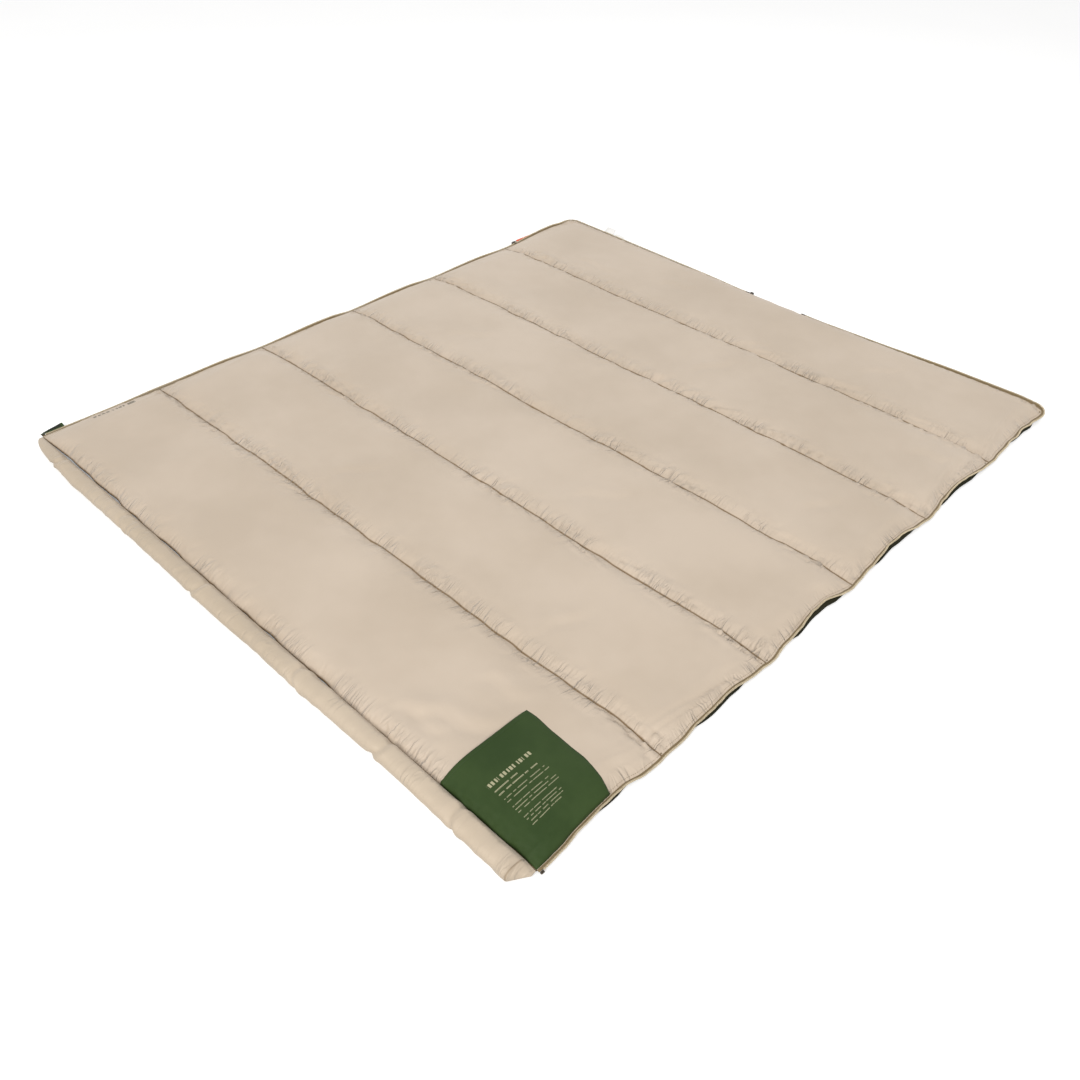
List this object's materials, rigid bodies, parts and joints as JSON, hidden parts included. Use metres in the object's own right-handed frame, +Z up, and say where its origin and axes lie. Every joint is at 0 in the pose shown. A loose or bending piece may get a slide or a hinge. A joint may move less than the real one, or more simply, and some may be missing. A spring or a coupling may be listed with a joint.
{
  "type": "camp quilt",
  "caption": "Rectangular sleeping bag unzipped and opened flat as a quilt, with crosswise filled channels, a padded head roll, a corner pocket and zips down both sides.",
  "frame": {"origin": "on the floor under the middle of the open quilt, on the fold line", "axes": "+Y from the head roll to the foot edge, +X from the fold line to the half with the pocket, +Z up out of the lining"},
  "size_m": [2.0736, 2.3728, 0.0491],
  "materials": {
    "lining_cloth": "soft woven polyester with a slight satin sheen",
    "shell_cloth": "close-woven dark olive cloth, matt",
    "batting": "lofted white fibre",
    "thread": "twisted thread",
    "zip_tape": "ribbed woven tape",
    "zip_coil": "nylon coil, low sheen",
    "zip_plastic": "moulded, satin",
    "zip_metal": "dark antique, satin",
    "puller_grip": "moulded soft grip, matt",
    "pocket_cloth": "close-woven dark green cloth, slight sheen",
    "hook_and_loop": "short pile",
    "label_satin": "white satin ribbon"
  },
  "bodies": {
    "right_half": {"shell_right": "shell_cloth", "lining_right": "lining_cloth", "batting_right_1": "batting", "batting_right_2": "batting", "batting_right_3": "batting", "batting_right_4": "batting", "batting_right_5": "batting", "batting_right_6": "batting", "quilt_stitch_right_1": "thread", "quilt_stitch_right_2": "thread", "quilt_stitch_right_3": "thread", "quilt_stitch_right_4": "thread", "quilt_stitch_right_5": "thread", "head_roll_cover_right": "lining_cloth", "head_roll_fill_right": "batting", "zip_tape_right": "zip_tape", "zip_coil_right": "zip_coil", "zip_top_stop_right": "zip_metal", "zip_insert_pin": "zip_plastic", "pocket_panel": "pocket_cloth", "tab_loop_patch": "hook_and_loop"},
    "left_half": {"shell_left": "shell_cloth", "lining_left": "lining_cloth", "batting_left_1": "batting", "batting_left_2": "batting", "batting_left_3": "batting", "batting_left_4": "batting", "batting_left_5": "batting", "batting_left_6": "batting", "quilt_stitch_left_1": "thread", "quilt_stitch_left_2": "thread", "quilt_stitch_left_3": "thread", "quilt_stitch_left_4": "thread", "quilt_stitch_left_5": "thread", "head_roll_cover_left": "lining_cloth", "head_roll_fill_left": "batting", "zip_tape_left": "zip_tape", "zip_coil_left": "zip_coil", "zip_top_stop_left": "zip_metal", "zip_fixed_pin": "zip_plastic", "zip_box": "zip_plastic", "care_label_1": "label_satin", "care_label_2": "label_satin", "care_label_3": "label_satin"},
    "slider_a": {"slider_a_body": "zip_metal", "slider_a_bridge": "zip_metal"},
    "slider_b": {"slider_b_body": "zip_metal", "slider_b_bridge": "zip_metal"},
    "puller_a": {"puller_a_link": "zip_metal", "puller_a_grip": "puller_grip"},
    "puller_b": {"puller_b_link": "zip_metal", "puller_b_grip": "puller_grip"},
    "zip_tab": {"zip_tab": "pocket_cloth", "tab_hook_patch": "hook_and_loop"}
  },
  "joints": [
    {"name": "fold", "type": "hinge", "parent": "right_half", "child": "left_half", "pos_m": [0, 0, 0.047], "axis": [0, 1, 0], "range_deg": [0, 180]},
    {"name": "slider_a_travel", "type": "slide", "parent": "left_half", "child": "slider_a", "axis": [0, 1, 0], "range_m": [-1.8, 0]},
    {"name": "slider_b_travel", "type": "slide", "parent": "left_half", "child": "slider_b", "axis": [0, 1, 0], "range_m": [0, 0.12]},
    {"name": "puller_a_swing", "type": "hinge", "parent": "slider_a", "child": "puller_a", "pos_m": [-1.027, 0.829, 0.0185], "axis": [1, 0, 0], "range_deg": [0, 180]},
    {"name": "puller_b_swing", "type": "hinge", "parent": "slider_b", "child": "puller_b", "pos_m": [-1.027, 0.941, 0.0185], "axis": [-1, 0, 0], "range_deg": [0, 180]},
    {"name": "tab_fold", "type": "hinge", "parent": "left_half", "child": "zip_tab", "pos_m": [-1.0263, 0, 0.0142], "axis": [0, 1, 0], "range_deg": [0, 140]}
  ]
}
